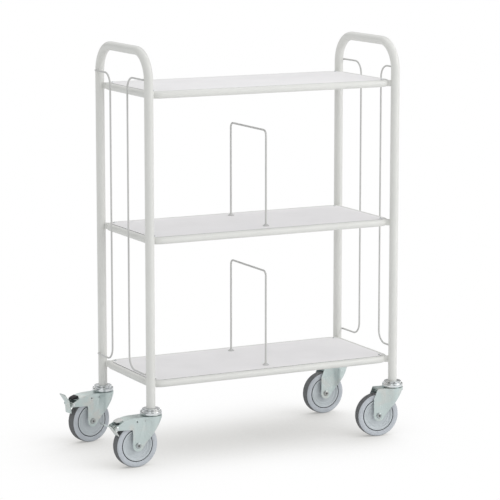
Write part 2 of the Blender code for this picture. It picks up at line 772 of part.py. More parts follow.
def build_guards(root):
    shape = guard_wire()
    x = half_x + TUBE_RADIUS + GAP + GUARD_WIRE_RADIUS
    for row, turn in (("rear", 0), ("front", math.pi)):
        place(shape, "left_" + row + "_guard_wire", PAINT, root, (-x, 0, 0), (0, 0, turn))
        place(shape, "right_" + row + "_guard_wire", PAINT, root, (x, 0, 0), (0, 0, turn))


def build_casters(root):
    on_side = (math.pi / 2, 0, 0)
    stem = caster_stem()
    forks = {False: caster_fork(False), True: caster_fork(True)}
    axle = axle_bolt()
    sleeve = axle_sleeve()
    core = wheel_core()
    rubber = tyre()
    pin = brake_pin()
    buffer = brake_buffer()
    pedal = brake_pedal()
    swing = brake_swing()
    casters = (("front_left", -half_x, -half_y, FRONT_LEFT_TURN, True, swing),
               ("rear_left", -half_x, half_y, REAR_LEFT_TURN, True, 0.0),
               ("front_right", half_x, -half_y, FRONT_RIGHT_TURN, False, 0.0),
               ("rear_right", half_x, half_y, REAR_RIGHT_TURN, False, 0.0))
    for name, x, y, turn, braked, pressed in casters:
        place(stem, name + "_stem", BRIGHT_STEEL, root, (x, y, 0))
        swivel = anchor(name + "_swivel", root, (x, y, 0), (0, 0, turn))
        hub = (-TRAIL, 0, WHEEL_RADIUS)
        place(forks[braked], name + "_fork", ZINC, swivel)
        place(axle, name + "_axle", BRIGHT_STEEL, swivel, hub, on_side)
        place(sleeve, name + "_sleeve", BRIGHT_STEEL, swivel, hub, on_side)
        spin = anchor(name + "_spin", swivel, hub)
        place(core, name + "_wheel_core", CORE_PLASTIC, spin, (0, 0, 0), on_side)
        place(rubber, name + "_tyre", TYRE_RUBBER, spin, (0, 0, 0), on_side)
        if braked:
            tip = (-BRAKE_PIVOT_X, 0, BRAKE_PIVOT_Z)
            place(pin, name + "_brake_pin", BRIGHT_STEEL, swivel, tip, on_side)
            place(buffer, name + "_brake_buffer", BLACK_RUBBER, swivel)
            hinge = anchor(name + "_brake_hinge", swivel, tip, (0, -pressed, 0))
            place(pedal, name + "_brake_pedal", ZINC, hinge)


def centre_on_origin(root):
    """Slide the trolley along the floor until the middle of its outline lies on the origin."""
    bpy.context.view_layer.update()
    corners = [piece.matrix_world @ vertex.co for piece in trolley_parts.objects if piece.type == "MESH"
               for vertex in piece.data.vertices]
    for axis in (0, 1):
        spread = [corner[axis] for corner in corners]
        root.location[axis] = -(min(spread) + max(spread)) / 2


def build_trolley():
    root = anchor("trolley", None, (0, 0, 0))
    build_frames(root)
    build_shelves(root)
    build_guards(root)
    build_casters(root)
    for leftover in list(workshop.objects):
        bpy.data.objects.remove(leftover, do_unlink=True)
    centre_on_origin(root)


build_trolley()
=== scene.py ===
"""Looks of the office trolley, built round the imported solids, in metres and +Z up."""

import math

import bmesh
import bpy
from mathutils import Matrix, Vector


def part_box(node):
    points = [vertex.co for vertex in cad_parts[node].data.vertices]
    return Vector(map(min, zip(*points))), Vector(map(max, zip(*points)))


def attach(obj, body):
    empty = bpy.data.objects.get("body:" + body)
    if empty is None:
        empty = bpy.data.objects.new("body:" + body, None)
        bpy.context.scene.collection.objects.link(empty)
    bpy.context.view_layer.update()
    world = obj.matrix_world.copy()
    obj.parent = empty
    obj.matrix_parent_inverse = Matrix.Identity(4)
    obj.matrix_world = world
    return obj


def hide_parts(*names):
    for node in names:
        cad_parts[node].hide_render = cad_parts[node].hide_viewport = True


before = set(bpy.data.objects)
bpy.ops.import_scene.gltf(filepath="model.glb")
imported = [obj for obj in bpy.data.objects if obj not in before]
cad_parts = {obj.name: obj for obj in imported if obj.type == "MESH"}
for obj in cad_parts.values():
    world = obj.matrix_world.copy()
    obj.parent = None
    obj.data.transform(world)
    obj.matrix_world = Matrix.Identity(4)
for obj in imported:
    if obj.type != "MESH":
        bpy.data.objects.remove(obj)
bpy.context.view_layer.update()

# Lengths are in metres. The plain name of a round part is its radius, HALF is half a width, BEND is
# the radius of a bend and EDGE is how far an edge is rounded. GAP is what the solids keep from each other.
GAP = 0.0003

# Frame, shelves and wires.
TUBE = 0.0125
TUBE_END = 0.0006
HANDLE_BEND = 0.080
RIM = 0.010
RIM_CORNER = 0.045
LUG_HALF = 0.0073
LUG_INSET = 0.0017
LUG_LAP = 0.0007
LUG_EDGE = 0.0012
LUG_BEAD = 0.0015
SHEET = 0.0015
SHEET_ROLL = 0.0007
FLANGE = 0.014
FLANGE_EDGE = 0.0004
GUARD_RADIUS = 0.0025
GUARD_Y = 0.058
GUARD_TOP = 1.0655
GUARD_BOTTOM = 0.2535
GUARD_BEND = 0.035
GUARD_SHORT = 0.0045
GUARD_BEAD = 0.0011
DIVIDER_RADIUS = 0.00275
DIVIDER_HEIGHT = 0.273
DIVIDER_BEND = 0.014
DIVIDER_Y = 0.11
FOOT_PLAY = 0.0002
FOOT_EDGE = 0.0003
FOOT_PLUG = 0.0055
FOOT_NECK = 0.005
SCREW_RADIUS = 0.0042
SCREW_DOME = 0.0023
SCREW_SOCKET = 0.0028
SCREW_FROM_END = 0.0275
SCREW_FROM_SIDE = 0.029

# Casters, in each caster's own place: the stem stands on the origin and the wheel trails along -X.
TRAIL = 0.049
WHEEL = 0.0625
WHEEL_HALF = 0.016
CORE = 0.0462
CORE_FACE = WHEEL_HALF - 0.0012
CORE_WEB = CORE_FACE - 0.0045
CORE_EDGE = 0.0014
GROOVE = 0.0445
GROOVE_DEPTH = 0.003
HUB = 0.0106
HUB_HALF = 0.0177
TYRE_EDGE = 0.0025
FORK_SHEET = 0.0025
FORK_HALF = 0.021
FORK_TOP = 0.141
FORK_BACK = 0.053
FORK_FRONT = 0.022
FORK_LENGTH = 0.13
CROWN = 0.0295
CROWN_RIM = 0.0008
CROWN_RIM_HALF = 0.004
CREASE_X = 0.027
CREASE_ANGLE = math.radians(114)
LEG = 0.016
SHOULDER_DROP = 0.008
PLAIN_BACK_TOP = 0.113
SLOT_TOP = 0.104
SLOT_CORNER = 0.005
PIVOT = (-0.113, 0.1178)
HORN = 0.006
WEB_END = 0.098
PIERCED = 0.0022
PIERCED_DROP = 0.011
PIERCED_BACK = (0.052, 0.028)
STEM = 0.010
STEM_UP = 0.03
STEM_EDGE = 0.0012
RACE = 0.0255
KINGPIN = 0.006
KINGPIN_HOLE = 0.0063
KINGPIN_HEAD = 0.011
AXLE = 0.004
AXLE_HOLE = 0.0043
AXLE_HEAD = 0.0085
AXLE_DOME = 0.0030
AXLE_SOCKET = 0.0032
SLEEVE = 0.007
WASHER = 0.0068
NUT = 0.0078
NUT_THICK = 0.0058
NUT_OUT = 0.0031
NUT_EDGE = 0.0007
PIN = 0.003
PIN_HOLE = 0.0033
PIN_EDGE = 0.0008
PEDAL_WIDTH = 0.027
PEDAL_SHEET = 0.0025
PEDAL_EAR = 0.0075
PEDAL_EDGE = 0.0005
PAD_WIDTH = 0.022
PAD_EDGE = 0.0016
PRESSED = math.radians(30.58)

# How far cuts reach past what they cut, and the block that a fork is cut from.
PAST_CROWN = 0.002
PAST_TOP = 0.01
DRILL = 0.1
BEYOND = 0.4
BLOCK = 0.3

FRAME = "trolley_frame"
COLUMNS = (("left", -1), ("right", 1))
ROWS = (("front", -1), ("rear", 1))

# Each caster's name, its turn in degrees, whether it has a brake, and its pedal's angle in radians.
CASTERS = (("front_left", 1.7, True, PRESSED), ("rear_left", 9.8, True, 0.0),
           ("front_right", -7.9, False, 0.0), ("rear_right", 0.5, False, 0.0))

low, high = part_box("left_end_frame")
left_x = (low.x + high.x) / 2
half_y = (high.y - low.y) / 2 - TUBE
middle_y = (high.y + low.y) / 2
frame_top = high.z
frame_foot = low.z
low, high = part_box("right_end_frame")
half_x = ((low.x + high.x) / 2 - left_x) / 2
middle = Vector((left_x + half_x, middle_y, 0))
crowns = {level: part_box(level + "_shelf_panel")[1].z for level in ("bottom", "middle", "top")}


# Materials.

class Nodes:
    """A node tree, with short ways to add to it."""

    def __init__(self, tree):
        self.tree = tree

    def add(self, kind, **settings):
        node = self.tree.nodes.new(kind)
        for key, value in settings.items():
            if key.startswith("in_"):
                node.inputs[key[3:].replace("_", " ")].default_value = value
            else:
                setattr(node, key, value)
        return node

    def link(self, source, output, target, entry):
        self.tree.links.new(source.outputs[output], target.inputs[entry])

    def place(self, stretch=(1, 1, 1)):
        where = self.add("ShaderNodeTexCoord")
        scale = self.add("ShaderNodeMapping")
        scale.inputs["Scale"].default_value = stretch
        self.link(where, "Object", scale, "Vector")
        return scale

    def noise(self, scale, detail=3.0, stretch=(1, 1, 1), rough=0.5):
        node = self.add("ShaderNodeTexNoise", in_Scale=scale, in_Detail=detail, in_Roughness=rough)
        self.link(self.place(stretch), "Vector", node, "Vector")
        return node

    def ramp(self, source, output, stops):
        node = self.add("ShaderNodeValToRGB")
        band = node.color_ramp
        while len(band.elements) < len(stops):
            band.elements.new(0.5)
        for element, (place, colour) in zip(band.elements, stops):
            element.position = place
            element.color = (*colour, 1)
        self.link(source, output, node, "Fac")
        return node

    def span(self, source, output, low, high, start=0.3, end=0.7, curve="LINEAR"):
        """A value that runs from low to high while the source runs from start to end."""
        node = self.add("ShaderNodeMapRange", interpolation_type=curve)
        for entry, value in (("From Min", start), ("From Max", end), ("To Min", low), ("To Max", high)):
            node.inputs[entry].default_value = value
        self.link(source, output, node, "Value")
        return node

    def bump(self, source, output, depth, strength=1.0, under=None):
        node = self.add("ShaderNodeBump", in_Strength=strength, in_Distance=depth)
        self.link(source, output, node, "Height")
        if under is not None:
            self.link(under, "Normal", node, "Normal")
        return node

    def seen(self):
        """1 for what the camera sees, also through clear things, and 0 for all other light."""
        path = self.add("ShaderNodeLightPath")
        node = self.add("ShaderNodeMath", operation="ADD", use_clamp=True)
        self.link(path, "Is Camera Ray", node, 0)
        self.link(path, "Is Transmission Ray", node, 1)
        return node

    def blend(self, source, output, first, second):
        """The first shader where the source is 0 and the second where it is 1."""
        node = self.add("ShaderNodeMixShader")
        self.link(source, output, node, "Fac")
        self.link(first, 0, node, 1)
        self.link(second, 0, node, 2)
        return node


class Look(Nodes):
    """A new material, with its node tree and its shader."""

    def __init__(self, name):
        self.material = bpy.data.materials.new(name)
        self.material.use_nodes = True
        super().__init__(self.material.node_tree)
        self.shader = self.tree.nodes["Principled BSDF"]


def shade(colour, factor):
    """A lighter or darker colour."""
    return tuple(min(1.0, channel * factor) for channel in colour)


def powder_coat(name, colour, rough, peel, gloss=0.45):
    """Sprayed powder coat: fine orange peel, slight clouding and a soft gloss."""
    made = Look(name)
    cloud = made.noise(9.0, 4.0)
    stops = ((0.25, shade(colour, 0.965)), (0.55, colour), (0.85, shade(colour, 1.02)))
    tint = made.ramp(cloud, "Fac", stops)
    made.link(tint, "Color", made.shader, "Base Color")
    speck = made.noise(1400.0, 2.0)
    made.link(made.span(speck, "Fac", rough - 0.06, rough + 0.08), "Result", made.shader, "Roughness")
    coarse = made.bump(made.noise(520.0, 2.0), "Fac", 0.00009, peel)
    fine = made.bump(speck, "Fac", 0.00004, peel, coarse)
    made.link(fine, "Normal", made.shader, "Normal")
    made.shader.inputs["Specular IOR Level"].default_value = gloss
    return made.material


def plated(name, cool, warm, rough, stretch, depth):
    """Zinc plated steel: a bluish film that drifts in tint, with rolling or turning lines."""
    made = Look(name)
    drift = made.noise(26.0, 4.0)
    tint = made.ramp(drift, "Fac", ((0.30, cool), (0.5, shade(cool, 1.05)), (0.72, warm)))
    made.link(tint, "Color", made.shader, "Base Color")
    made.shader.inputs["Metallic"].default_value = 1.0
    mottle = made.noise(240.0, 4.0, rough=0.6)
    made.link(made.span(mottle, "Fac", rough * 0.75, rough * 1.35), "Result", made.shader, "Roughness")
    lines = made.noise(1.0, 3.0, stretch)
    first = made.bump(lines, "Fac", depth, 0.6)
    second = made.bump(mottle, "Fac", depth * 0.7, 0.5, first)
    made.link(second, "Normal", made.shader, "Normal")
    return made.material


def moulded(name, colour, rough, grain, depth, dust=0.0, dusty=(0.5, 0.5, 0.5), coat=0.0):
    """Moulded rubber or plastic: fine grain, uneven sheen and a little dust."""
    made = Look(name)
    film = made.noise(34.0, 5.0, rough=0.62)
    mixed = tuple(c * (1 - dust) + d * dust for c, d in zip(colour, dusty))
    tint = made.ramp(film, "Fac", ((0.32, shade(colour, 0.95)), (0.55, colour), (0.80, mixed)))
    made.link(tint, "Color", made.shader, "Base Color")
    pores = made.noise(grain, 3.0)
    made.link(made.span(pores, "Fac", rough - 0.08, rough + 0.08), "Result", made.shader, "Roughness")
    made.link(made.bump(pores, "Fac", depth, 0.8), "Normal", made.shader, "Normal")
    made.shader.inputs["Coat Weight"].default_value = coat
    return made.material


# How fine rolling and turning lines are along X, Y and Z.
ROLLED = (60, 60, 900)
TURNED = (3, 3, 2600)

paint = powder_coat("frame_powder_coat", (0.725, 0.725, 0.695), rough=0.28, peel=0.5)
wire_paint = powder_coat("wire_powder_coat", (0.57, 0.57, 0.555), rough=0.34, peel=0.5)
panel_paint = powder_coat("panel_powder_coat", (0.86, 0.846, 0.85), rough=0.54, peel=0.45, gloss=0.28)

pressed_zinc = plated("pressed_zinc", (0.63, 0.71, 0.695), (0.71, 0.715, 0.68),
                      rough=0.34, stretch=ROLLED, depth=0.00004)
turned_zinc = plated("turned_zinc", (0.75, 0.78, 0.79), (0.80, 0.79, 0.76),
                     rough=0.17, stretch=TURNED, depth=0.00003)
axle_zinc = plated("axle_zinc", (0.46, 0.50, 0.50), (0.52, 0.51, 0.48),
                   rough=0.34, stretch=TURNED, depth=0.00003)

# The tread is painted near-black against the grey side walls of the same rubber: painted shade on the running
# face, with a little dust mixed in.
tread = moulded("tyre_tread", (0.140, 0.144, 0.148), rough=0.78, grain=1500.0, depth=0.00008,
                dust=0.35, dusty=(0.30, 0.29, 0.27))
side_wall = moulded("tyre_side_wall", (0.525, 0.555, 0.59), rough=0.52, grain=1200.0, depth=0.00005,
                    dust=0.2, dusty=(0.56, 0.57, 0.58))
core_plastic = moulded("core_plastic", (0.555, 0.595, 0.615), rough=0.50, grain=620.0, depth=0.00007,
                       dust=0.25, dusty=(0.60, 0.62, 0.63))
# The brake pad is painted near-black with its pedal up, as painted shade in the gap under the raised pedal,
# and pale grey with the pedal pressed.
black_rubber = moulded("black_rubber", (0.022, 0.022, 0.024), rough=0.62, grain=1300.0, depth=0.00007,
                       dust=0.3, dusty=(0.07, 0.07, 0.07))
grey_rubber = moulded("pale_pad_rubber", (0.64, 0.65, 0.63), rough=0.5, grain=1300.0, depth=0.00006,
                      dust=0.3, dusty=(0.66, 0.66, 0.64))
grommet_plastic = moulded("grommet_plastic", (0.56, 0.56, 0.55), rough=0.34, grain=800.0, depth=0.00003,
                          coat=0.2)

# Painted shade: dark grey for the sheet's seam and the axle bolts' sockets, near-black for the screws'
# sockets and the wheel cores' grooves.
seam_dark = moulded("seam_shadow", (0.16, 0.16, 0.155), rough=0.7, grain=900.0, depth=0.00004)
groove_dark = moulded("groove_shadow", (0.030, 0.036, 0.043), rough=0.8, grain=900.0, depth=0.00005)


# Mesh helpers.

WELD = 0.000005
ON_AXIS = 1e-7


def finish_mesh(name, mesh, looks, body, stands_for, sharp=38):
    """Clean a mesh, give it its materials and let it ride on a body.

    looks is one material or a list of them, for the faces' material numbers. stands_for names the
    solids that the piece takes the place of, and sharp is the angle in degrees that keeps an edge hard.
    """
    work = bmesh.new()
    work.from_mesh(mesh)
    bmesh.ops.remove_doubles(work, verts=work.verts, dist=WELD)
    bmesh.ops.recalc_face_normals(work, faces=work.faces)
    work.to_mesh(mesh)
    work.free()
    mesh.name = name
    if not isinstance(looks, (list, tuple)):
        looks = [looks]
    keep = [polygon.material_index for polygon in mesh.polygons]
    mesh.materials.clear()
    for look in looks:
        mesh.materials.append(look)
    for polygon, index in zip(mesh.polygons, keep):
        polygon.material_index = min(index, len(looks) - 1)
    mesh.shade_smooth()
    mesh.set_sharp_from_angle(angle=math.radians(sharp))
    piece = bpy.data.objects.new(name, mesh)
    bpy.context.scene.collection.objects.link(piece)
    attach(piece, body)
    if stands_for:
        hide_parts(*stands_for)


def raw(verts, faces):
    """A plain mesh from its points and faces."""
    mesh = bpy.data.meshes.new("raw")
    mesh.from_pydata([tuple(v) for v in verts], [], faces)
    return mesh


def merged(*meshes):
    """One mesh from several closed shells."""
    work = bmesh.new()
    for mesh in meshes:
        work.from_mesh(mesh)
    made = bpy.data.meshes.new("merged")
    work.to_mesh(made)
    work.free()
    return made


def moved(mesh, matrix):
    """A copy of a mesh, put where the matrix says."""
    made = mesh.copy()
    made.transform(matrix)
    return made


def fillet(before, corner, after, radius, steps):
    """Points of the arc that rounds a corner between two straight runs."""
    toward = (before - corner).normalized()
    away = (after - corner).normalized()
    half = toward.angle(away) / 2
    centre = corner + (toward + away).normalized() * (radius / math.sin(half))
    spoke = corner + toward * (radius / math.tan(half)) - centre
    axis = (-toward).cross(away)
    swing = math.pi - 2 * half
    return [centre + Matrix.Rotation(swing * k / steps, 3, axis) @ spoke for k in range(steps + 1)]


def rounded(corners, radius, steps, closed=False):
    """A path through the corners, each but the open ends rounded off."""
    places = [Vector(corner) for corner in corners]
    path = []
    for k, corner in enumerate(places):
        if not closed and k in (0, len(places) - 1):
            path.append(corner)
        else:
            path += fillet(places[k - 1], corner, places[(k + 1) % len(places)], radius, steps)
    return path


def sweep(path, radius, sides, closed=False, edge=0.0004, swell=None):
    """A round bar along a path, its ends slightly rounded unless it closes on itself.

    swell gives a share of the radius for each point of the path.
    """
    count = len(path)
    rings = []
    normal = None
    for k, point in enumerate(path):
        before = path[k - 1] if closed or k else point
        after = path[(k + 1) % count] if closed or k < count - 1 else point
        along = (after - before).normalized()
        if normal is None:
            normal = along.orthogonal().normalized()
        normal = (normal - along * normal.dot(along)).normalized()
        side = along.cross(normal)
        rings.append((point, normal, side, along, radius * (swell[k] if swell else 1.0)))
    if not closed:
        # Each end steps back a little and gets a narrower ring, which breaks its edge.
        first, last = rings[0], rings[-1]
        rings[0] = (first[0] + first[3] * edge, *first[1:])
        rings[-1] = (last[0] - last[3] * edge, *last[1:])
        rings.insert(0, (*first[:4], max(first[4] - edge, first[4] * 0.3)))
        rings.append((*last[:4], max(last[4] - edge, last[4] * 0.3)))
    verts = []
    for point, normal, side, along, reach in rings:
        for j in range(sides):
            angle = 2 * math.pi * j / sides
            verts.append(point + (normal * math.cos(angle) + side * math.sin(angle)) * reach)
    faces = []
    total = len(rings)
    for k in range(total if closed else total - 1):
        for j in range(sides):
            a, b = k * sides + j, k * sides + (j + 1) % sides
            c, d = ((k + 1) % total) * sides + (j + 1) % sides, ((k + 1) % total) * sides + j
            faces.append((a, b, c, d))
    if not closed:
        faces.append(tuple(range(sides))[::-1])
        faces.append(tuple((total - 1) * sides + j for j in range(sides)))
    return raw(verts, faces)


def soft(profile, radius, steps=3, closed=False):
    """A profile with its corners rounded as far as their edges allow."""
    nearly_straight = math.radians(172)
    share_of_edge = 0.42
    count = len(profile)
    points = [Vector((r, z, 0)) for r, z in profile]
    made = []
    for k, corner in enumerate(points):
        if not closed and k in (0, count - 1):
            made.append(corner)
            continue
        before, after = points[k - 1], points[(k + 1) % count]
        toward, away = before - corner, after - corner
        bend = toward.angle(away)
        if bend > nearly_straight:
            made.append(corner)
            continue
        room = share_of_edge * min(toward.length, away.length) * math.tan(bend / 2)
        made += fillet(before, corner, after, min(radius, room), steps)
    return [(p.x, p.y) for p in made]


def lathe(profile, steps=72, ring=False, marks=None):
    """A turned shape about Z from a profile of radius and height, which a ring closes on itself.

    marks gives the material number of each step of the profile.
    """
    verts, rows = [], []
    for radius, height in profile:
        if radius < ON_AXIS:
            rows.append([len(verts)] * steps)
            verts.append((0, 0, height))
            continue
        rows.append([len(verts) + j for j in range(steps)])
        for j in range(steps):
            angle = 2 * math.pi * j / steps
            verts.append((radius * math.cos(angle), radius * math.sin(angle), height))
    faces, index = [], []
    total = len(rows)
    for k in range(total if ring else total - 1):
        near, far = rows[k], rows[(k + 1) % total]
        for j in range(steps):
            quad = [near[j], near[(j + 1) % steps], far[(j + 1) % steps], far[j]]
            loop = [v for n, v in enumerate(quad) if v != quad[n - 1]]
            if len(loop) > 2:
                faces.append(tuple(loop))
                index.append(marks(profile[k], profile[(k + 1) % total]) if marks else 0)
    mesh = raw(verts, faces)
    for polygon, mark in zip(mesh.polygons, index):
        polygon.material_index = mark
    return mesh


on_side = Matrix.Rotation(math.pi / 2, 4, "X")


def plate(outline, thickness):
    """A flat outline given its thickness about its own plane."""
    count = len(outline)
    verts = [(x, y, s * thickness / 2) for s in (1, -1) for x, y in outline]
    faces = [tuple(range(count)), tuple(range(2 * count - 1, count - 1, -1))]
    faces += [(k, count + k, count + (k + 1) % count, (k + 1) % count) for k in range(count)]
    return raw(verts, faces)


def upright(outline, width, place=0.0):
    """A plate drawn in X and Z that stands across Y."""
    return moved(plate(outline, width), Matrix.Translation((0, place, 0)) @ on_side)


def solid(mesh):
    """A mesh put on the bench as an object, its faces pointing out."""
    work = bmesh.new()
    work.from_mesh(mesh)
    bmesh.ops.recalc_face_normals(work, faces=work.faces)
    work.to_mesh(mesh)
    work.free()
    thing = bpy.data.objects.new("bench", mesh)
    bpy.context.scene.collection.objects.link(thing)
    return thing


def worked(thing):
    """The plain mesh of an object with its modifiers. The object is removed."""
    bpy.context.view_layer.update()
    graph = bpy.context.evaluated_depsgraph_get()
    mesh = bpy.data.meshes.new_from_object(thing.evaluated_get(graph), depsgraph=graph)
    bpy.data.objects.remove(thing, do_unlink=True)
    return mesh


def combined(mesh, others, operation):
    """A mesh joined with, cut by or cut down to each of the others in turn."""
    for other in others:
        target, tool = solid(mesh), solid(other)
        step = target.modifiers.new("step", "BOOLEAN")
        step.operation = operation
        step.solver = "EXACT"
        step.object = tool
        mesh = worked(target)
        bpy.data.objects.remove(tool, do_unlink=True)
    return mesh


def eased(mesh, width, segments=2, angle=35):
    """A mesh with its sharp edges rounded off."""
    target = solid(mesh)
    step = target.modifiers.new("edge", "BEVEL")
    step.width = width
    step.segments = segments
    step.limit_method = "ANGLE"
    step.angle_limit = math.radians(angle)
    step.use_clamp_overlap = True
    step.miter_outer = "MITER_ARC"
    return worked(target)


def box_mesh(low, high):
    """A box between two opposite corners."""
    (x0, y0, z0), (x1, y1, z1) = low, high
    slab = plate([(x0, y0), (x1, y0), (x1, y1), (x0, y1)], z1 - z0)
    return moved(slab, Matrix.Translation((0, 0, (z0 + z1) / 2)))


def disc(radius, half, steps):
    """A round plate or a drill, about Z and the same to both sides of the origin."""
    return lathe([(0, half), (radius, half), (radius, -half), (0, -half)], steps)


def both_sides(half):
    """A profile of radius and height followed by its mirror image below."""
    return half + [(radius, -height) for radius, height in reversed(half)]


def rectangle(x, y, z=0.0):
    """The corners of a level rectangle about the origin, from half its sides."""
    return [(-x, -y, z), (x, -y, z), (x, y, z), (-x, y, z)]


def arc(centre, radius, start, end, steps):
    """Points of an arc in a plane, its angles in radians."""
    angles = [start + (end - start) * k / steps for k in range(steps + 1)]
    return [(centre[0] + radius * math.cos(a), centre[1] + radius * math.sin(a)) for a in angles]


def bead(path, radius):
    """A weld bead with its ripples, laid along a few points and thinner at its ends."""
    steps, thin, ripple = 6, 0.35, 0.09
    fine = []
    for first, second in zip(path, path[1:]):
        fine += [Vector(first).lerp(Vector(second), k / steps) for k in range(steps)]
    fine.append(Vector(path[-1]))
    count = len(fine) - 1
    swell = []
    for k in range(count + 1):
        rise = math.sin(math.pi * (0.08 + 0.84 * k / count)) ** 0.5
        swell.append(thin + (1 - thin) * rise + ripple * math.sin(2.4 * k))
    return sweep(fine, radius, 12, swell=swell)


def put(x, y, z=0.0):
    """The place x, y, z from the middle of the frame on the floor."""
    return Matrix.Translation(middle + Vector((x, y, z)))


# Frames, shelves and wires.

def dress_frames():
    top = frame_top - TUBE
    corners = [(0, -half_y, frame_foot), (0, -half_y, top), (0, half_y, top), (0, half_y, frame_foot)]
    shape = sweep(rounded(corners, HANDLE_BEND, 30), TUBE, 48, edge=TUBE_END)
    for column, sx in COLUMNS:
        finish_mesh(column + "_frame_tube", moved(shape, put(sx * half_x, 0)), paint, FRAME,
                    [column + "_end_frame"])


def saddle(sx, sy):
    """A welded lug between a shelf ring and its post, with a bead down each side."""
    reach = (math.sqrt(2) - 1) * RIM_CORNER + RIM
    block = box_mesh((TUBE - LUG_LAP, -LUG_HALF, LUG_INSET - 2 * RIM), (reach, LUG_HALF, -LUG_INSET))
    meshes = [eased(block, LUG_EDGE, 3)]
    along = math.sqrt(TUBE ** 2 - LUG_HALF ** 2) + 0.0004
    across = LUG_HALF + 0.0005
    top = -LUG_INSET - LUG_BEAD
    bottom = -2 * RIM - top
    for side in (-1, 1):
        meshes.append(bead([(along, side * across, top), (along, side * across, bottom)], LUG_BEAD))
    turn = Matrix.Rotation(math.atan2(-sy, -sx), 4, "Z")
    place = Matrix.Translation((sx * half_x, sy * half_y, 0)) @ turn
    return [moved(mesh, place) for mesh in meshes]


def ring_shape():
    """The round tube of a shelf, closed on itself, with a lug at each corner."""
    path = rounded(rectangle(half_x - RIM, half_y - RIM, -RIM), RIM_CORNER - RIM, 18, closed=True)
    lugs = [mesh for column, sx in COLUMNS for row, sy in ROWS for mesh in saddle(sx, sy)]
    return merged(sweep(path, RIM, 36, closed=True), *lugs)


def panel_shape():
    """A sheet with rolled upper edges and flanges turned down inside the ring."""
    setback = RIM + math.sqrt((RIM + GAP) ** 2 - (RIM - SHEET) ** 2)

    def outline(inset):
        corners = rectangle(half_x - setback - inset, half_y - setback - inset)
        run = rounded(corners, RIM_CORNER - setback - inset, 18, closed=True)
        return [(p.x, p.y) for p in run]

    rows = []
    for angle in (0, 0.4, 0.8, 1.2, math.pi / 2):
        rows.append((SHEET_ROLL * (1 - math.sin(angle)), -SHEET_ROLL * (1 - math.cos(angle))))
    rows.append((0, -SHEET))
    verts = [(x, y, drop) for inset, drop in rows for x, y in outline(inset)]
    count = len(verts) // len(rows)
    faces = [tuple(range(count)), tuple((len(rows) - 1) * count + k for k in range(count))[::-1]]
    for row in range(len(rows) - 1):
        for k in range(count):
            a, b = row * count + k, row * count + (k + 1) % count
            faces.append((a, b, b + count, a + count))
    parts = [raw(verts, faces)]
    out_x, out_y = half_x - 2 * RIM - GAP, half_y - 2 * RIM - GAP
    run_x, run_y = half_x - RIM_CORNER, half_y - RIM_CORNER
    for side in (-1, 1):
        near, far = sorted((side * out_y, side * (out_y - SHEET)))
        parts.append(eased(box_mesh((-run_x, near, -FLANGE), (run_x, far, -SHEET / 2)), FLANGE_EDGE))
        near, far = sorted((side * out_x, side * (out_x - SHEET)))
        parts.append(eased(box_mesh((near, -run_y, -FLANGE), (far, run_y, -SHEET / 2)), FLANGE_EDGE))
    made = merged(*parts)
    # The steep part of the sheet's edge lies in the seam and is painted dark grey: painted shade in the seam.
    steep = 0.35
    for polygon in made.polygons:
        if abs(polygon.normal.z) < steep and polygon.center.z > -SHEET:
            polygon.material_index = 1
    return made


def screw_shape():
    """A dome head screw, its round socket painted near-black as the shade in its hollow."""
    brim, floor, lip = 0.0003, 0.0005, 0.0018
    profile = [(0, floor), (SCREW_SOCKET - 0.0003, floor), (SCREW_SOCKET, floor + 0.0004),
               (SCREW_SOCKET, lip)]
    for angle in (0.78, 1.0, 1.2, 1.4, math.pi / 2):
        profile.append((SCREW_RADIUS * math.sin(angle), brim + SCREW_DOME * math.cos(angle)))
    profile += [(SCREW_RADIUS, 0), (0, 0)]

    def socket(near, far):
        inside = max(near[0], far[0]) < SCREW_SOCKET + 0.0001
        return 1 if inside and max(near[1], far[1]) > brim + 0.0001 else 0

    return lathe(profile, 32, marks=socket)


def divider_shape():
    """An upside-down U of wire, its ends flush with the underside of the sheet."""
    reach = DIVIDER_HEIGHT - DIVIDER_RADIUS
    corners = [(0, -DIVIDER_Y, -SHEET), (0, -DIVIDER_Y, reach), (0, DIVIDER_Y, reach), (0, DIVIDER_Y, -SHEET)]
    return sweep(rounded(corners, DIVIDER_BEND, 14), DIVIDER_RADIUS, 24)


def foot_shape():
    """A foot that holds a wire: a plug through the sheet, a thin flange on it and a short neck."""
    bore = DIVIDER_RADIUS + FOOT_PLAY
    shoulder, flange = (0.0062, 0.0026), (0.009, 0.0017)
    profile = [(bore, FOOT_NECK), (FOOT_NECK, FOOT_NECK), shoulder, flange, (flange[0], FOOT_PLAY),
               (FOOT_PLUG, FOOT_PLAY), (FOOT_PLUG, -SHEET), (bore, -SHEET)]
    return lathe(soft(profile, FOOT_EDGE, 3, closed=True), 40, ring=True)


def dress_shelves():
    ring = ring_shape()
    panel = panel_shape()
    screw = screw_shape()
    wire = divider_shape()
    foot = foot_shape()
    for level, crown in crowns.items():
        spot = put(0, 0, crown)
        finish_mesh(level + "_ring", moved(ring, spot), paint, FRAME, [level + "_shelf_rim"])
        finish_mesh(level + "_panel", moved(panel, spot), [panel_paint, seam_dark], FRAME,
                    [level + "_shelf_panel"])
        for column, sx in COLUMNS:
            for row, sy in ROWS:
                corner = put(sx * (half_x - SCREW_FROM_END), sy * (half_y - SCREW_FROM_SIDE), crown)
                finish_mesh(f"{level}_{column}_{row}_screw", moved(screw, corner), [turned_zinc, groove_dark],
                            FRAME, [])
        if level == "top":
            continue
        finish_mesh(level + "_divider_wire", moved(wire, spot), wire_paint, FRAME,
                    [level + "_divider"])
        for row, sy in ROWS:
            finish_mesh(f"{level}_{row}_grommet", moved(foot, put(0, sy * DIVIDER_Y, crown)), grommet_plastic,
                        FRAME, [f"{level}_{row}_divider_foot"])


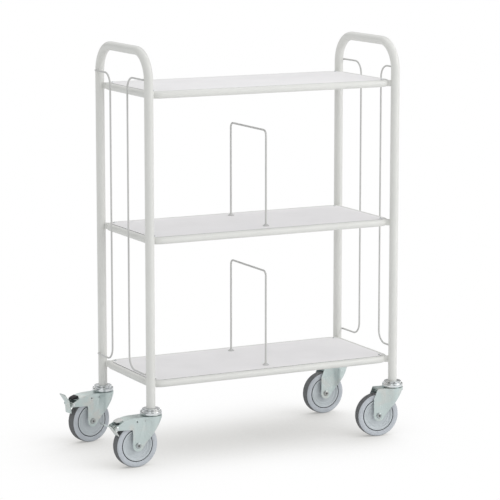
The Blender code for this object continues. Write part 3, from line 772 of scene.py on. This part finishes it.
def guard_shape():
    """A long guard wire, bent to its post at both ends and welded there above and below."""
    lap = half_y - GUARD_SHORT
    corners = [(0, lap, GUARD_TOP), (0, GUARD_Y, GUARD_TOP),
               (0, GUARD_Y, GUARD_BOTTOM), (0, lap, GUARD_BOTTOM)]
    shapes = [sweep(rounded(corners, GUARD_BEND, 16), GUARD_RADIUS, 24)]
    # A bead's points: back from the wire's end, in towards the post, and off the wire's middle line.
    touches = ((0.0045, 0.0024, 0.0014), (0.0020, 0.0030, 0.0017), (0.0, 0.0030, 0.0014))
    for z in (GUARD_TOP, GUARD_BOTTOM):
        for side in (-1, 1):
            path = [(toward, lap - back, z + side * off) for back, toward, off in touches]
            shapes.append(bead(path, GUARD_BEAD))
    return merged(*shapes)


def dress_guards():
    shape = guard_shape()
    across = half_x + TUBE + GAP + GUARD_RADIUS
    for column, sx in COLUMNS:
        for row, sy in ROWS:
            spot = put(sx * across, 0) @ Matrix.Diagonal((-sx, sy, 1, 1))
            finish_mesh(f"{column}_{row}_guard_bar", moved(shape, spot), wire_paint, FRAME,
                        [f"{column}_{row}_guard_wire"])


# Forks.

def horn_line():
    """Upper edge of the horn from the crown back to its round tip, and the angle where it meets the tip."""
    run, lift = -PIVOT[0] - FORK_BACK, FORK_TOP - PIVOT[1]
    shares = ((0.35, 0.72), (0.5, 0.865), (0.66, 0.96), (0.82, 0.995))
    slope = [(PIVOT[0] + run * along, PIVOT[1] + lift * up) for along, up in shares]
    x, z = slope[0][0] - PIVOT[0], slope[0][1] - PIVOT[1]
    turn = math.atan2(z, x) + math.acos(HORN / math.hypot(x, z))
    return [(-FORK_BACK, FORK_TOP)] + slope[::-1], turn


def side_line(braked):
    """Outline of the fork seen from the side."""
    axle = (-TRAIL, WHEEL)
    shoulder = FORK_TOP - SHOULDER_DROP
    reach = (FORK_FRONT - axle[0], shoulder - axle[1])
    start = math.atan2(reach[1], reach[0]) - math.acos(LEG / math.hypot(*reach))
    outline = [(CROWN + PAST_CROWN, FORK_TOP), (CROWN + PAST_CROWN, shoulder), (FORK_FRONT, shoulder)]
    outline += arc(axle, LEG, start, -math.pi, 24)
    if not braked:
        return outline + [(-TRAIL - LEG, PLAIN_BACK_TOP), (-FORK_BACK, FORK_TOP)]
    top, turn = horn_line()
    corner = arc((-TRAIL - LEG - SLOT_CORNER, SLOT_TOP), SLOT_CORNER, 0, math.pi / 2, 8)
    nose = arc(PIVOT, HORN, -math.pi / 2, turn - 2 * math.pi, 20)
    return outline + corner + nose + top[::-1]


def plan_line(inset, back):
    """Outline of the fork seen from above: the round crown and two flat cheeks behind it."""
    half, radius = FORK_HALF - inset, CROWN - inset
    front = arc((0, 0), radius, -CREASE_ANGLE, CREASE_ANGLE, 44)
    return [(-back, -half), (-CREASE_X, -half)] + front + [(-CREASE_X, half), (-back, half)]


def under_line(braked):
    """Outline of the room inside the fork seen from the side, which ends at the web of a horn."""
    roof = FORK_TOP - FORK_SHEET
    corners = [(-BEYOND, -BEYOND / 2), (CROWN + PAST_CROWN, -BEYOND / 2), (CROWN + PAST_CROWN, roof)]
    if not braked:
        return corners + [(-BEYOND, roof)]
    web = [(x, z - FORK_SHEET) for x, z in horn_line()[0]]
    x, z = web[-1]
    fall = (z - (PIVOT[1] - FORK_SHEET)) / (x - PIVOT[0])
    web.append((-WEB_END, z - fall * (x + WEB_END)))
    return corners + web + [(-WEB_END, FORK_TOP + PAST_TOP), (-BEYOND, FORK_TOP + PAST_TOP)]


def fork_shape(braked):
    """The pressed fork with the rim of its crown, bored and pierced."""
    body = plate(plan_line(0, FORK_LENGTH), BLOCK)
    body = combined(body, [upright(side_line(braked), BLOCK)], "INTERSECT")
    rim = disc(CROWN + CROWN_RIM, CROWN_RIM_HALF, 96)
    body = combined(body, [moved(rim, Matrix.Translation((0, 0, FORK_TOP - CROWN_RIM_HALF)))], "UNION")
    room = plate(plan_line(FORK_SHEET, BEYOND), 2 * BLOCK)
    room = combined(room, [upright(under_line(braked), BEYOND)], "INTERSECT")
    body = combined(body, [room], "DIFFERENCE")
    drills = [moved(disc(AXLE_HOLE, DRILL, 32), Matrix.Translation((-TRAIL, 0, WHEEL)) @ on_side),
              moved(disc(KINGPIN_HOLE, DRILL / 2, 32), Matrix.Translation((0, 0, FORK_TOP)))]
    if braked:
        holes = [(*PIVOT, PIN_HOLE)] + [(-back, FORK_TOP - PIERCED_DROP, PIERCED) for back in PIERCED_BACK]
        for x, z, radius in holes:
            drills.append(moved(disc(radius, DRILL, 24), Matrix.Translation((x, 0, z)) @ on_side))
    return combined(body, drills, "DIFFERENCE")


# Turned and moulded parts of the casters, as profiles of radius and height.

def stem_shape():
    """Race cap in two tiers over the race, with the stem and the kingpin's head."""
    bottom = FORK_TOP + GAP
    skirt = bottom + 0.0024
    shoulder = skirt + 0.0092
    crown = shoulder + 0.0068
    head = FORK_TOP - FORK_SHEET - GAP
    stem = [(0, crown + STEM_UP), (STEM, crown + STEM_UP), (STEM, crown)]
    upper = [(0.0135, crown), (0.0145, crown - 0.0008), (0.0245, crown - 0.0004),
             (0.0250, crown - 0.0030), (0.0252, shoulder + 0.0006)]
    lower = [(0.0292, shoulder - 0.0004), (0.0299, shoulder - 0.0030),
             (0.0300, skirt + 0.0012), (0.0294, skirt)]
    race = [(RACE, skirt), (RACE, bottom)]
    kingpin = [(KINGPIN, bottom), (KINGPIN, head), (KINGPIN_HEAD, head), (KINGPIN_HEAD, head - 0.0027),
               (KINGPIN_HEAD - 0.0025, head - 0.0040), (0, head - 0.0040)]
    return lathe(soft(stem + upper + lower + race + kingpin, STEM_EDGE, 4), 96)


def axle_shape():
    """The axle bolt, its domed head's socket painted dark grey as the shade in its hollow, with the nut at
    its far end.
    """
    seat = FORK_HALF + GAP
    profile = [(0, seat + 0.0012), (0.0026, seat + 0.0012), (AXLE_SOCKET, seat + 0.0016),
               (AXLE_SOCKET, seat + 0.0031)]
    for angle in (0.48, 0.8, 1.1, 1.35, math.pi / 2):
        profile.append((AXLE_HEAD * math.sin(angle), seat + 0.0006 + AXLE_DOME * math.cos(angle)))
    profile += [(AXLE_HEAD, seat), (AXLE, seat), (AXLE, -seat), (WASHER, -seat), (WASHER, -seat - 0.0006),
                (AXLE, -seat - 0.0062), (AXLE, -seat - 0.0080), (0, -seat - 0.0080)]

    def socket(near, far):
        return 1 if max(near[0], far[0]) < AXLE_SOCKET + 0.0001 and min(near[1], far[1]) > 0 else 0

    bolt = lathe(profile, 48, marks=socket)
    hexagon = [(NUT * math.cos(math.pi * k / 3), NUT * math.sin(math.pi * k / 3)) for k in range(6)]
    nut = moved(eased(plate(hexagon, NUT_THICK), NUT_EDGE, 3), Matrix.Translation((0, 0, -seat - NUT_OUT)))
    return merged(bolt, nut)


def sleeve_shape():
    """The tube between the fork's cheeks that the wheel turns on."""
    reach = FORK_HALF - FORK_SHEET - GAP
    return lathe([(AXLE_HOLE, reach), (SLEEVE, reach), (SLEEVE, -reach), (AXLE_HOLE, -reach)], 48, ring=True)


def core_shape():
    """The wheel's core with its hub, dished web and rim, the groove by the tyre painted near-black as the
    shade in it.
    """
    hub = [(SLEEVE + GAP, HUB_HALF), (HUB, HUB_HALF), (0.0120, HUB_HALF - 0.0009),
           (0.0128, CORE_WEB + 0.0016)]
    web = [(0.0160, CORE_WEB), (0.0300, CORE_WEB), (0.0306, CORE_WEB + 0.0007),
           (0.0335, CORE_WEB + 0.0007), (0.0365, CORE_WEB + 0.0008)]
    rim = [(0.0398, CORE_FACE - 0.0009), (0.0412, CORE_FACE), (GROOVE - 0.0004, CORE_FACE)]
    floor = CORE_FACE - GROOVE_DEPTH
    groove = [(GROOVE, CORE_FACE - 0.0005), (GROOVE, floor), (CORE, floor)]
    half = soft(hub + web + rim + groove, CORE_EDGE, 3)
    return lathe(both_sides(half), 112, ring=True,
                 marks=lambda near, far: 1 if min(near[0], far[0]) > GROOVE - 0.00005 else 0)


def tyre_shape():
    """The tyre with its rounded shoulders, its side walls marked for the grey rubber; the running face takes
    the near-black tread, which is painted shade.
    """
    bead_seat = [(CORE + 0.0002, 0.0132), (CORE + 0.0006, 0.0146)]
    wall = [(0.0480, 0.0154), (0.0530, WHEEL_HALF), (0.0575, 0.0156)]
    shoulder = [(0.0597, 0.0146), (0.0613, 0.0128), (0.0623, 0.0104)]
    running = [(WHEEL, 0.0070), (WHEEL, 0.0006), (WHEEL - 0.0001, 0.0002)]
    wall_from, wall_above = 0.0465, 0.0136

    def side(near, far):
        return 1 if max(abs(near[1]), abs(far[1])) > wall_above and min(near[0], far[0]) > wall_from else 0

    half = soft(bead_seat + wall + shoulder + running, TYRE_EDGE, 3)
    return lathe(both_sides(half), 128, ring=True, marks=side)


def pin_shape():
    """The brake's pin, riveted over at both ends."""
    seat = FORK_HALF + GAP
    half = [(0, seat + 0.0019), (0.0026, seat + 0.0019), (0.0043, seat + 0.0011), (0.0048, seat), (PIN, seat)]
    return lathe(both_sides(soft(half, PIN_EDGE, 3)), 32)


# Brakes.

def smooth_line(points, steps):
    """A curve through the points (a Catmull-Rom spline)."""
    fine = []
    last = len(points) - 1
    for k in range(last):
        p0, p1 = points[max(k - 1, 0)], points[k]
        p2, p3 = points[k + 1], points[min(k + 2, last)]
        for n in range(steps):
            t = n / steps
            fine.append(0.5 * ((2 * p1) + (p2 - p0) * t + (2 * p0 - 5 * p1 + 4 * p2 - p3) * t * t
                               + (3 * p1 - p0 - 3 * p2 + p3) * t * t * t))
    return fine + [points[last]]


def pedal_shape():
    """The brake's rocker: shoe, tread and ears, pressed from sheet."""
    shoe, knee, tip = (-0.0045, -0.025), (-0.0125, 0.01323), (-0.025, 0.0315)
    bends = [(shoe[0] * 1.3, shoe[1] * 0.40), (shoe[0] * 1.75, -shoe[1] * 0.20)]
    fine = smooth_line([Vector((x, z, 0)) for x, z in [shoe] + bends + [knee, tip]], 5)
    left, right = [], []
    for k, point in enumerate(fine):
        along = (fine[min(k + 1, len(fine) - 1)] - fine[max(k - 1, 0)]).normalized()
        across = Vector((-along.y, along.x, 0)) * PEDAL_SHEET / 2
        left.append(((point + across).x, (point + across).y))
        right.append(((point - across).x, (point - across).y))
    strip = upright(left + right[::-1], PEDAL_WIDTH)
    outline = arc((0, 0), PEDAL_EAR, -math.pi / 2, math.pi / 2, 18) + bends[::-1]
    place = PEDAL_WIDTH / 2 - PEDAL_SHEET
    ears = [upright(outline, PEDAL_SHEET, side * place) for side in (-1, 1)]
    body = combined(strip, ears, "UNION")
    body = combined(body, [moved(disc(PIN_HOLE, DRILL, 24), on_side)], "DIFFERENCE")
    return eased(body, PEDAL_EDGE, 2, 50)


def buffer_shape():
    """Rubber pad on the end of the horn."""
    top, turn = horn_line()
    upper = Vector(top[-1])
    lower = Vector(PIVOT) + Vector((math.cos(turn), math.sin(turn))) * HORN
    down = (lower - upper).normalized()
    up = Vector((down.y, -down.x))
    edge = upper + down * ((upper.x + WEB_END) / -down.x)
    # Down along the web from its end, and up off it.
    corners = [(0, GAP), (0.0115, 0.005), (0.0112, 0.0072), (0.004, 0.0082), (-0.0090, 0.0060), (-0.010, GAP)]
    outline = [tuple(edge + down * a + up * b) for a, b in corners]
    return eased(upright(outline, PAD_WIDTH), PAD_EDGE, 4)


# The casters put together.

def dress_casters():
    forks = {braked: fork_shape(braked) for braked in (False, True)}
    stem = stem_shape()
    axle = axle_shape()
    sleeve = sleeve_shape()
    core = core_shape()
    tyre = tyre_shape()
    pin = pin_shape()
    pedal = pedal_shape()
    pad = buffer_shape()
    for name, degrees, braked, pressed in CASTERS:
        low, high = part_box(name + "_stem")
        spot = Matrix.Translation(((low.x + high.x) / 2, (low.y + high.y) / 2, 0))
        base = spot @ Matrix.Rotation(math.radians(degrees), 4, "Z")
        hub = base @ Matrix.Translation((-TRAIL, 0, WHEEL)) @ on_side
        swivel, wheel = name + "_swivel", name + "_wheel"
        finish_mesh(name + "_cap", moved(stem, spot), turned_zinc, FRAME, [name + "_stem"])
        finish_mesh(name + "_yoke", moved(forks[braked], base), pressed_zinc, swivel,
                    [name + "_fork"], sharp=30)
        finish_mesh(name + "_axle_bolt", moved(axle, hub), [axle_zinc, seam_dark], swivel,
                    [name + "_axle"])
        finish_mesh(name + "_spacer", moved(sleeve, hub), turned_zinc, swivel,
                    [name + "_sleeve"])
        finish_mesh(name + "_core", moved(core, hub), [core_plastic, groove_dark], wheel,
                    [name + "_wheel_core"])
        finish_mesh(name + "_tread", moved(tyre, hub), [tread, side_wall], wheel, [name + "_tyre"])
        if not braked:
            continue
        tip = base @ Matrix.Translation((PIVOT[0], 0, PIVOT[1]))
        finish_mesh(name + "_rivet", moved(pin, tip @ on_side), turned_zinc, swivel,
                    [name + "_brake_pin"])
        # The pad is near-black with the pedal up, painted shade under the raised pedal, and pale grey with it
        # pressed.
        finish_mesh(name + "_pad", moved(pad, base), grey_rubber if pressed else black_rubber, swivel,
                    [name + "_brake_buffer"])
        swing = tip @ Matrix.Rotation(-pressed, 4, "Y")
        finish_mesh(name + "_pedal", moved(pedal, swing), pressed_zinc, name + "_brake",
                    [name + "_brake_pedal"], sharp=30)


dress_frames()
dress_shelves()
dress_guards()
dress_casters()


# Stage, light and camera.

FLOOR_RADIUS = 60
FLOOR_SIDES = 64
SHADE_REACH = 0.42


def stage_floor():
    """A pale floor that the camera sees as a white glow, with the trolley's soft shadow painted into it."""
    made = Look("floor")
    made.shader.inputs["Base Color"].default_value = (0.86, 0.86, 0.86, 1)
    made.shader.inputs["Roughness"].default_value = 0.9
    made.shader.inputs["Specular IOR Level"].default_value = 0.1
    # Painted shadow: the camera sees a glow whose brightness follows ambient occlusion, leaned towards +X, so
    # the trolley's soft shadow is painted round and under it; other light meets the plain pale floor.
    open_sky = made.add("ShaderNodeAmbientOcclusion", in_Distance=SHADE_REACH, samples=12)
    lean = Vector((0.55, -0.05, 1.0)).normalized()
    facing = made.add("ShaderNodeCombineXYZ", in_X=lean.x, in_Y=lean.y, in_Z=lean.z)
    made.link(facing, "Vector", open_sky, "Normal")
    stops = ((0.0, (0.30, 0.30, 0.295)), (0.45, (0.66, 0.655, 0.64)),
             (0.74, (0.86, 0.858, 0.85)), (0.93, (1.0, 1.0, 1.0)))
    shaded = made.ramp(open_sky, "AO", stops)
    glow = made.add("ShaderNodeEmission")
    made.link(shaded, "Color", glow, "Color")
    surface = made.blend(made.seen(), "Value", made.shader, glow)
    made.link(surface, "Shader", made.tree.nodes["Material Output"], "Surface")
    circle = arc((0, 0), FLOOR_RADIUS, 0, 2 * math.pi, FLOOR_SIDES)[:-1]
    mesh = raw([(x, y, 0) for x, y in circle], [tuple(range(FLOOR_SIDES))])
    mesh.materials.append(made.material)
    floor = bpy.data.objects.new("stage_floor", mesh)
    floor.location.z = -GAP
    bpy.context.scene.collection.objects.link(floor)


def sky():
    """An even soft light all round, white where it is seen.

    Glossy surfaces mirror another sky, which is darker to the left and near the horizon and runs
    round in soft bands, so that metal and paint have something to show.
    """
    world = bpy.data.worlds.new("studio")
    bpy.context.scene.world = world
    world.use_nodes = True
    world.node_tree.nodes.clear()
    made = Nodes(world.node_tree)

    def scaled(source, output, factor, offset):
        """The source times the factor, plus the offset."""
        node = made.add("ShaderNodeMath", operation="MULTIPLY_ADD")
        node.inputs[1].default_value = factor
        node.inputs[2].default_value = offset
        made.link(source, output, node, 0)
        return node

    soft_light = made.add("ShaderNodeBackground", in_Color=(0.98, 0.99, 1.0, 1), in_Strength=0.84)
    white = made.add("ShaderNodeBackground", in_Color=(1, 1, 1, 1))
    where = made.add("ShaderNodeTexCoord")

    toward = made.add("ShaderNodeVectorMath", operation="DOT_PRODUCT")
    toward.inputs[1].default_value = Vector((0.80, -0.35, 0.48)).normalized()
    made.link(where, "Generated", toward, 0)
    greys = ((0.0, 0.40), (0.35, 0.55), (0.62, 0.86), (1.0, 1.05))
    half_way = scaled(toward, "Value", 0.5, 0.5)
    side = made.ramp(half_way, "Value", [(place, (grey, grey, grey)) for place, grey in greys])

    split = made.add("ShaderNodeSeparateXYZ")
    made.link(where, "Generated", split, 0)
    height = made.add("ShaderNodeMath", operation="ABSOLUTE")
    made.link(split, "Z", height, 0)
    dusk = made.span(height, "Value", 0.40, 1.0, start=0.04, end=0.40, curve="SMOOTHSTEP")

    compass = made.add("ShaderNodeMath", operation="ARCTAN2")
    made.link(split, "Y", compass, 0)
    made.link(split, "X", compass, 1)
    wave = made.add("ShaderNodeMath", operation="SINE")
    made.link(scaled(compass, "Value", 5.0, 0.6), "Value", wave, 0)
    bands = made.span(wave, "Value", 0.42, 1.22, start=-0.9, end=0.5, curve="SMOOTHSTEP")

    both = made.add("ShaderNodeMath", operation="MULTIPLY")
    made.link(dusk, "Result", both, 0)
    made.link(bands, "Result", both, 1)
    mirrored = made.add("ShaderNodeBackground")
    made.link(side, "Color", mirrored, "Color")
    made.link(both, "Value", mirrored, "Strength")

    path = made.add("ShaderNodeLightPath")
    unseen = made.blend(path, "Is Glossy Ray", soft_light, mirrored)
    surface = made.blend(made.seen(), "Value", unseen, white)
    made.link(surface, "Shader", made.add("ShaderNodeOutputWorld"), "Surface")


def softbox(name, place, aim, size, power, mirrored=True):
    """A rectangular lamp that the camera doesn't see and that reflections show only if it is mirrored."""
    data = bpy.data.lights.new(name, "AREA")
    data.shape = "RECTANGLE"
    data.size, data.size_y = size
    data.energy = power
    lamp = bpy.data.objects.new(name, data)
    lamp.location = place
    lamp.rotation_euler = (Vector(aim) - Vector(place)).to_track_quat("-Z", "Y").to_euler()
    lamp.visible_camera = False
    lamp.visible_glossy = mirrored
    bpy.context.scene.collection.objects.link(lamp)


def stage_camera():
    """The photograph's viewpoint, solved from the posts, shelves and wheels."""
    yaw, pitch = math.radians(27.03), math.radians(9.52)
    distance, aim_height, aim_right, aim_up = 6.9348, 0.5, 0.0052, 0.0461
    focal_pixels, picture_pixels, sensor = 2421.3, 500, 36.0
    ahead = Vector((math.sin(yaw) * math.cos(pitch), math.cos(yaw) * math.cos(pitch), -math.sin(pitch)))
    right = Vector((math.cos(yaw), -math.sin(yaw), 0))
    up = right.cross(ahead)
    data = bpy.data.cameras.new("camera")
    data.sensor_width = sensor
    data.lens = sensor * focal_pixels / picture_pixels
    camera = bpy.data.objects.new("camera", data)
    spot = middle + Vector((0, 0, aim_height)) + right * aim_right + up * aim_up - ahead * distance
    camera.matrix_world = Matrix.Translation(spot) @ Matrix((right, up, -ahead)).transposed().to_4x4()
    bpy.context.scene.collection.objects.link(camera)
    bpy.context.scene.camera = camera


stage_floor()
sky()
softbox("key", place=(2.9, -2.2, 2.2), aim=(0, 0, 0.5), size=(2.4, 2.2), power=36)
softbox("front", place=(1.2, -3.8, 1.0), aim=(0, 0, 0.5), size=(2.4, 1.4), power=12, mirrored=False)
softbox("top", place=(0.4, 0.9, 3.4), aim=(0.06, 0, 0.4), size=(2.0, 1.6), power=9)
stage_camera()
bpy.context.scene.view_settings.view_transform = "Standard"
